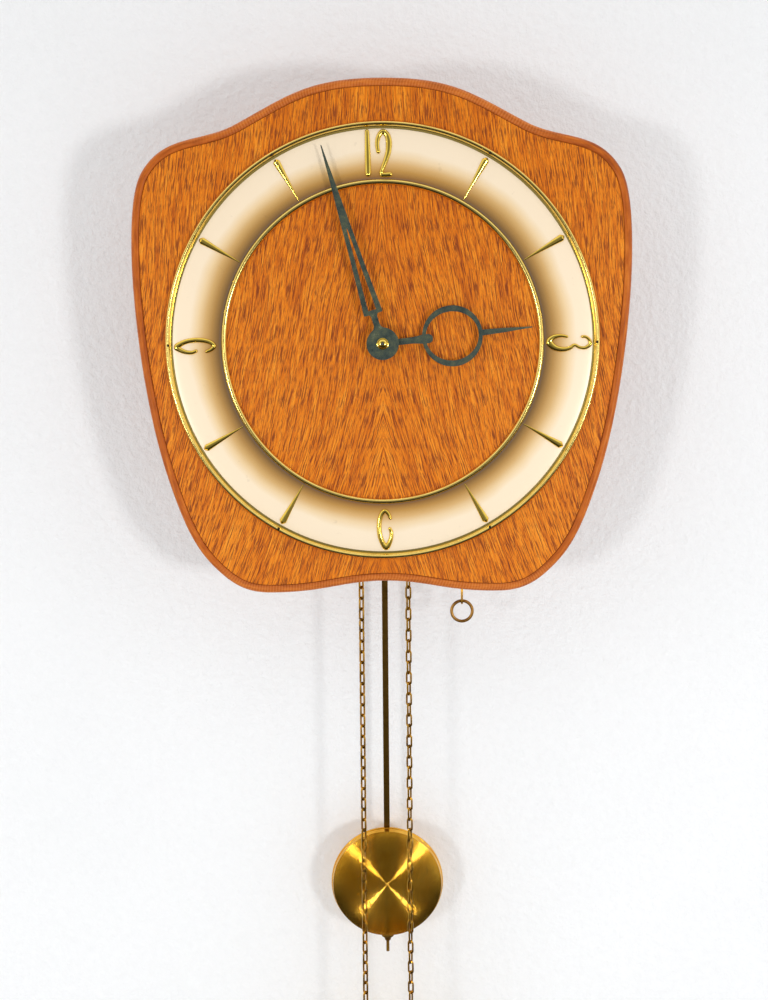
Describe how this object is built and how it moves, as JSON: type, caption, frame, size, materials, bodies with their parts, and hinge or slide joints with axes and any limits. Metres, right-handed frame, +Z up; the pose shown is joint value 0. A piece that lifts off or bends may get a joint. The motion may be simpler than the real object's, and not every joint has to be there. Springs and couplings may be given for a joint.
{
  "type": "wall clock",
  "caption": "Chain-driven wall clock on a shaped wooden board, with a brass dial, two hands, a pendulum, two hanging weights and a striking movement.",
  "frame": {"origin": "on the wall, at the back face of the hanger plate, on the clock's middle line", "axes": "+Z up, -Y out of the wall towards the viewer, +X to the viewer's right"},
  "size_m": [0.3502, 0.1107, 0.8821],
  "materials": {
    "veneer": "oak veneer, satin lacquer",
    "lipping": "dark stained lipping, satin lacquer",
    "case_wood": "stained and lacquered",
    "panel_board": "thin plywood",
    "dial_brass": "pressed brass, cream lacquer with brown shading",
    "polished_brass": "polished",
    "movement_brass": "machined",
    "patina": "blue-green patina",
    "steel": "plain steel",
    "iron": "black",
    "dull_brass": "tarnished",
    "pins": "domed nails"
  },
  "bodies": {
    "clock": {"front_board": "veneer", "edge_lipping": "lipping", "case_top": "case_wood", "case_side_left": "case_wood", "case_side_right": "case_wood", "seat_board": "case_wood", "back_panel": "panel_board", "hanger_plate": "steel", "outer_bezel": "polished_brass", "chapter_ring": "dial_brass", "inner_bezel": "polished_brass", "bezel_pin_1": "pins", "bezel_pin_2": "pins", "bezel_pin_3": "pins", "bezel_pin_4": "pins", "bezel_pin_5": "pins", "bezel_pin_6": "pins", "front_plate": "movement_brass", "back_plate": "movement_brass", "pillar_upper_left": "movement_brass", "pillar_upper_right": "movement_brass", "pillar_lower_left": "movement_brass", "pillar_lower_right": "movement_brass", "suspension_cock": "movement_brass", "gong_block": "iron", "gong_rod": "steel", "time_chain_upper": "polished_brass", "strike_chain_upper": "polished_brass"},
    "minute_train": {"minute_hand": "patina", "hand_nut": "polished_brass", "cannon_pinion": "steel", "centre_wheel": "movement_brass"},
    "hour_train": {"hour_hand": "patina", "hour_wheel": "movement_brass"},
    "motion_wheel": {"minute_wheel": "movement_brass"},
    "second_train": {"time_second_wheel": "movement_brass"},
    "time_barrel": {"time_great_wheel": "movement_brass"},
    "third_train": {"third_wheel": "movement_brass"},
    "escapement": {"escape_wheel": "movement_brass"},
    "pallets": {"anchor": "steel"},
    "pendulum": {"suspension_spring": "steel", "pendulum_rod": "dull_brass"},
    "bob": {"pendulum_bob": "polished_brass", "rating_nut": "polished_brass"},
    "strike_barrel": {"strike_great_wheel": "movement_brass"},
    "pin_train": {"pin_wheel": "movement_brass"},
    "warning_train": {"warning_wheel": "movement_brass"},
    "fly_train": {"fly": "steel"},
    "hammer_lever": {"hammer": "steel"},
    "time_spool": {"time_sprocket": "movement_brass"},
    "strike_spool": {"strike_sprocket": "movement_brass"},
    "time_load": {"time_weight": "polished_brass", "time_chain_lower": "polished_brass"},
    "time_pull": {"time_pull_ring": "polished_brass", "time_chain_tail": "polished_brass"},
    "strike_load": {"strike_weight": "polished_brass", "strike_chain_lower": "polished_brass"},
    "strike_pull": {"strike_pull_ring": "polished_brass", "strike_chain_tail": "polished_brass"}
  },
  "joints": [
    {"name": "minute_turn", "type": "hinge", "parent": "clock", "child": "minute_train", "pos_m": [0, -0.055, -0.072], "axis": [0, 1, 0], "continuous": true},
    {"name": "hour_turn", "type": "hinge", "parent": "clock", "child": "hour_train", "pos_m": [0, -0.055, -0.072], "axis": [0, 1, 0], "continuous": true},
    {"name": "motion_turn", "type": "hinge", "parent": "clock", "child": "motion_wheel", "pos_m": [0.01234, -0.055, -0.08671], "axis": [0, 1, 0], "continuous": true},
    {"name": "second_turn", "type": "hinge", "parent": "clock", "child": "second_train", "pos_m": [-0.02351, -0.055, -0.07683], "axis": [0, 1, 0], "continuous": true},
    {"name": "time_great_turn", "type": "hinge", "parent": "clock", "child": "time_barrel", "pos_m": [-0.0375, -0.055, -0.11], "axis": [0, 1, 0], "continuous": true},
    {"name": "third_turn", "type": "hinge", "parent": "clock", "child": "third_train", "pos_m": [-0.0098, -0.055, -0.05125], "axis": [0, 1, 0], "continuous": true},
    {"name": "escape_turn", "type": "hinge", "parent": "clock", "child": "escapement", "pos_m": [0, -0.055, -0.032], "axis": [0, 1, 0], "continuous": true},
    {"name": "pendulum_swing", "type": "hinge", "parent": "clock", "child": "pendulum", "pos_m": [0, -0.025, -0.012], "axis": [0, 1, 0], "range_deg": [-4, 4]},
    {"name": "pallet_rock", "type": "hinge", "parent": "clock", "child": "pallets", "pos_m": [0, -0.055, -0.012], "axis": [0, 1, 0], "range_deg": [-4, 4]},
    {"name": "bob_rate", "type": "slide", "parent": "pendulum", "child": "bob", "axis": [0, 0, 1], "range_m": [-0.004, 0.004]},
    {"name": "strike_turn", "type": "hinge", "parent": "clock", "child": "pin_train", "pos_m": [0.02351, -0.055, -0.07683], "axis": [0, 1, 0], "continuous": true},
    {"name": "strike_great_turn", "type": "hinge", "parent": "clock", "child": "strike_barrel", "pos_m": [0.0375, -0.055, -0.11], "axis": [0, 1, 0], "continuous": true},
    {"name": "warning_turn", "type": "hinge", "parent": "clock", "child": "warning_train", "pos_m": [0.03304, -0.055, -0.05745], "axis": [0, 1, 0], "continuous": true},
    {"name": "fly_turn", "type": "hinge", "parent": "clock", "child": "fly_train", "pos_m": [0.02885, -0.055, -0.0418], "axis": [0, 1, 0], "continuous": true},
    {"name": "hammer_lift", "type": "hinge", "parent": "clock", "child": "hammer_lever", "pos_m": [0.05, -0.055, -0.076], "axis": [0, -1, 0], "range_deg": [-2, 14], "stiffness_Nm_per_rad": 0.02},
    {"name": "time_wind", "type": "slide", "parent": "clock", "child": "time_load", "axis": [0, 0, 1], "range_m": [0, 0.0984], "deforming": ["time_chain_upper"]},
    {"name": "time_pull_down", "type": "slide", "parent": "clock", "child": "time_pull", "axis": [0, 0, -1], "range_m": [0, 0.0984]},
    {"name": "time_sprocket_turn", "type": "hinge", "parent": "time_barrel", "child": "time_spool", "pos_m": [-0.0375, -0.06, -0.11], "axis": [0, -1, 0], "range_deg": [0, 283]},
    {"name": "strike_wind", "type": "slide", "parent": "clock", "child": "strike_load", "axis": [0, 0, 1], "range_m": [0, 0.0984], "deforming": ["strike_chain_upper"]},
    {"name": "strike_pull_down", "type": "slide", "parent": "clock", "child": "strike_pull", "axis": [0, 0, -1], "range_m": [0, 0.0984]},
    {"name": "strike_sprocket_turn", "type": "hinge", "parent": "strike_barrel", "child": "strike_spool", "pos_m": [0.0375, -0.06, -0.11], "axis": [0, 1, 0], "range_deg": [0, 283]}
  ],
  "couplings": [
    {"joint": "hour_turn", "follows": "minute_turn", "ratio": 0.083333},
    {"joint": "motion_turn", "follows": "minute_turn", "ratio": -0.33333},
    {"joint": "second_turn", "follows": "minute_turn", "ratio": -0.25},
    {"joint": "time_great_turn", "follows": "minute_turn", "ratio": 0.0625},
    {"joint": "third_turn", "follows": "minute_turn", "ratio": -7.5},
    {"joint": "escape_turn", "follows": "minute_turn", "ratio": 60},
    {"joint": "pallet_rock", "follows": "pendulum_swing", "ratio": 1},
    {"joint": "strike_great_turn", "follows": "strike_turn", "ratio": -0.25},
    {"joint": "warning_turn", "follows": "strike_turn", "ratio": -8},
    {"joint": "fly_turn", "follows": "strike_turn", "ratio": 64},
    {"joint": "time_pull_down", "follows": "time_wind", "ratio": 1},
    {"joint": "time_sprocket_turn", "follows": "time_wind", "rad_per_m": 50},
    {"joint": "strike_pull_down", "follows": "strike_wind", "ratio": 1},
    {"joint": "strike_sprocket_turn", "follows": "strike_wind", "rad_per_m": 50}
  ]
}
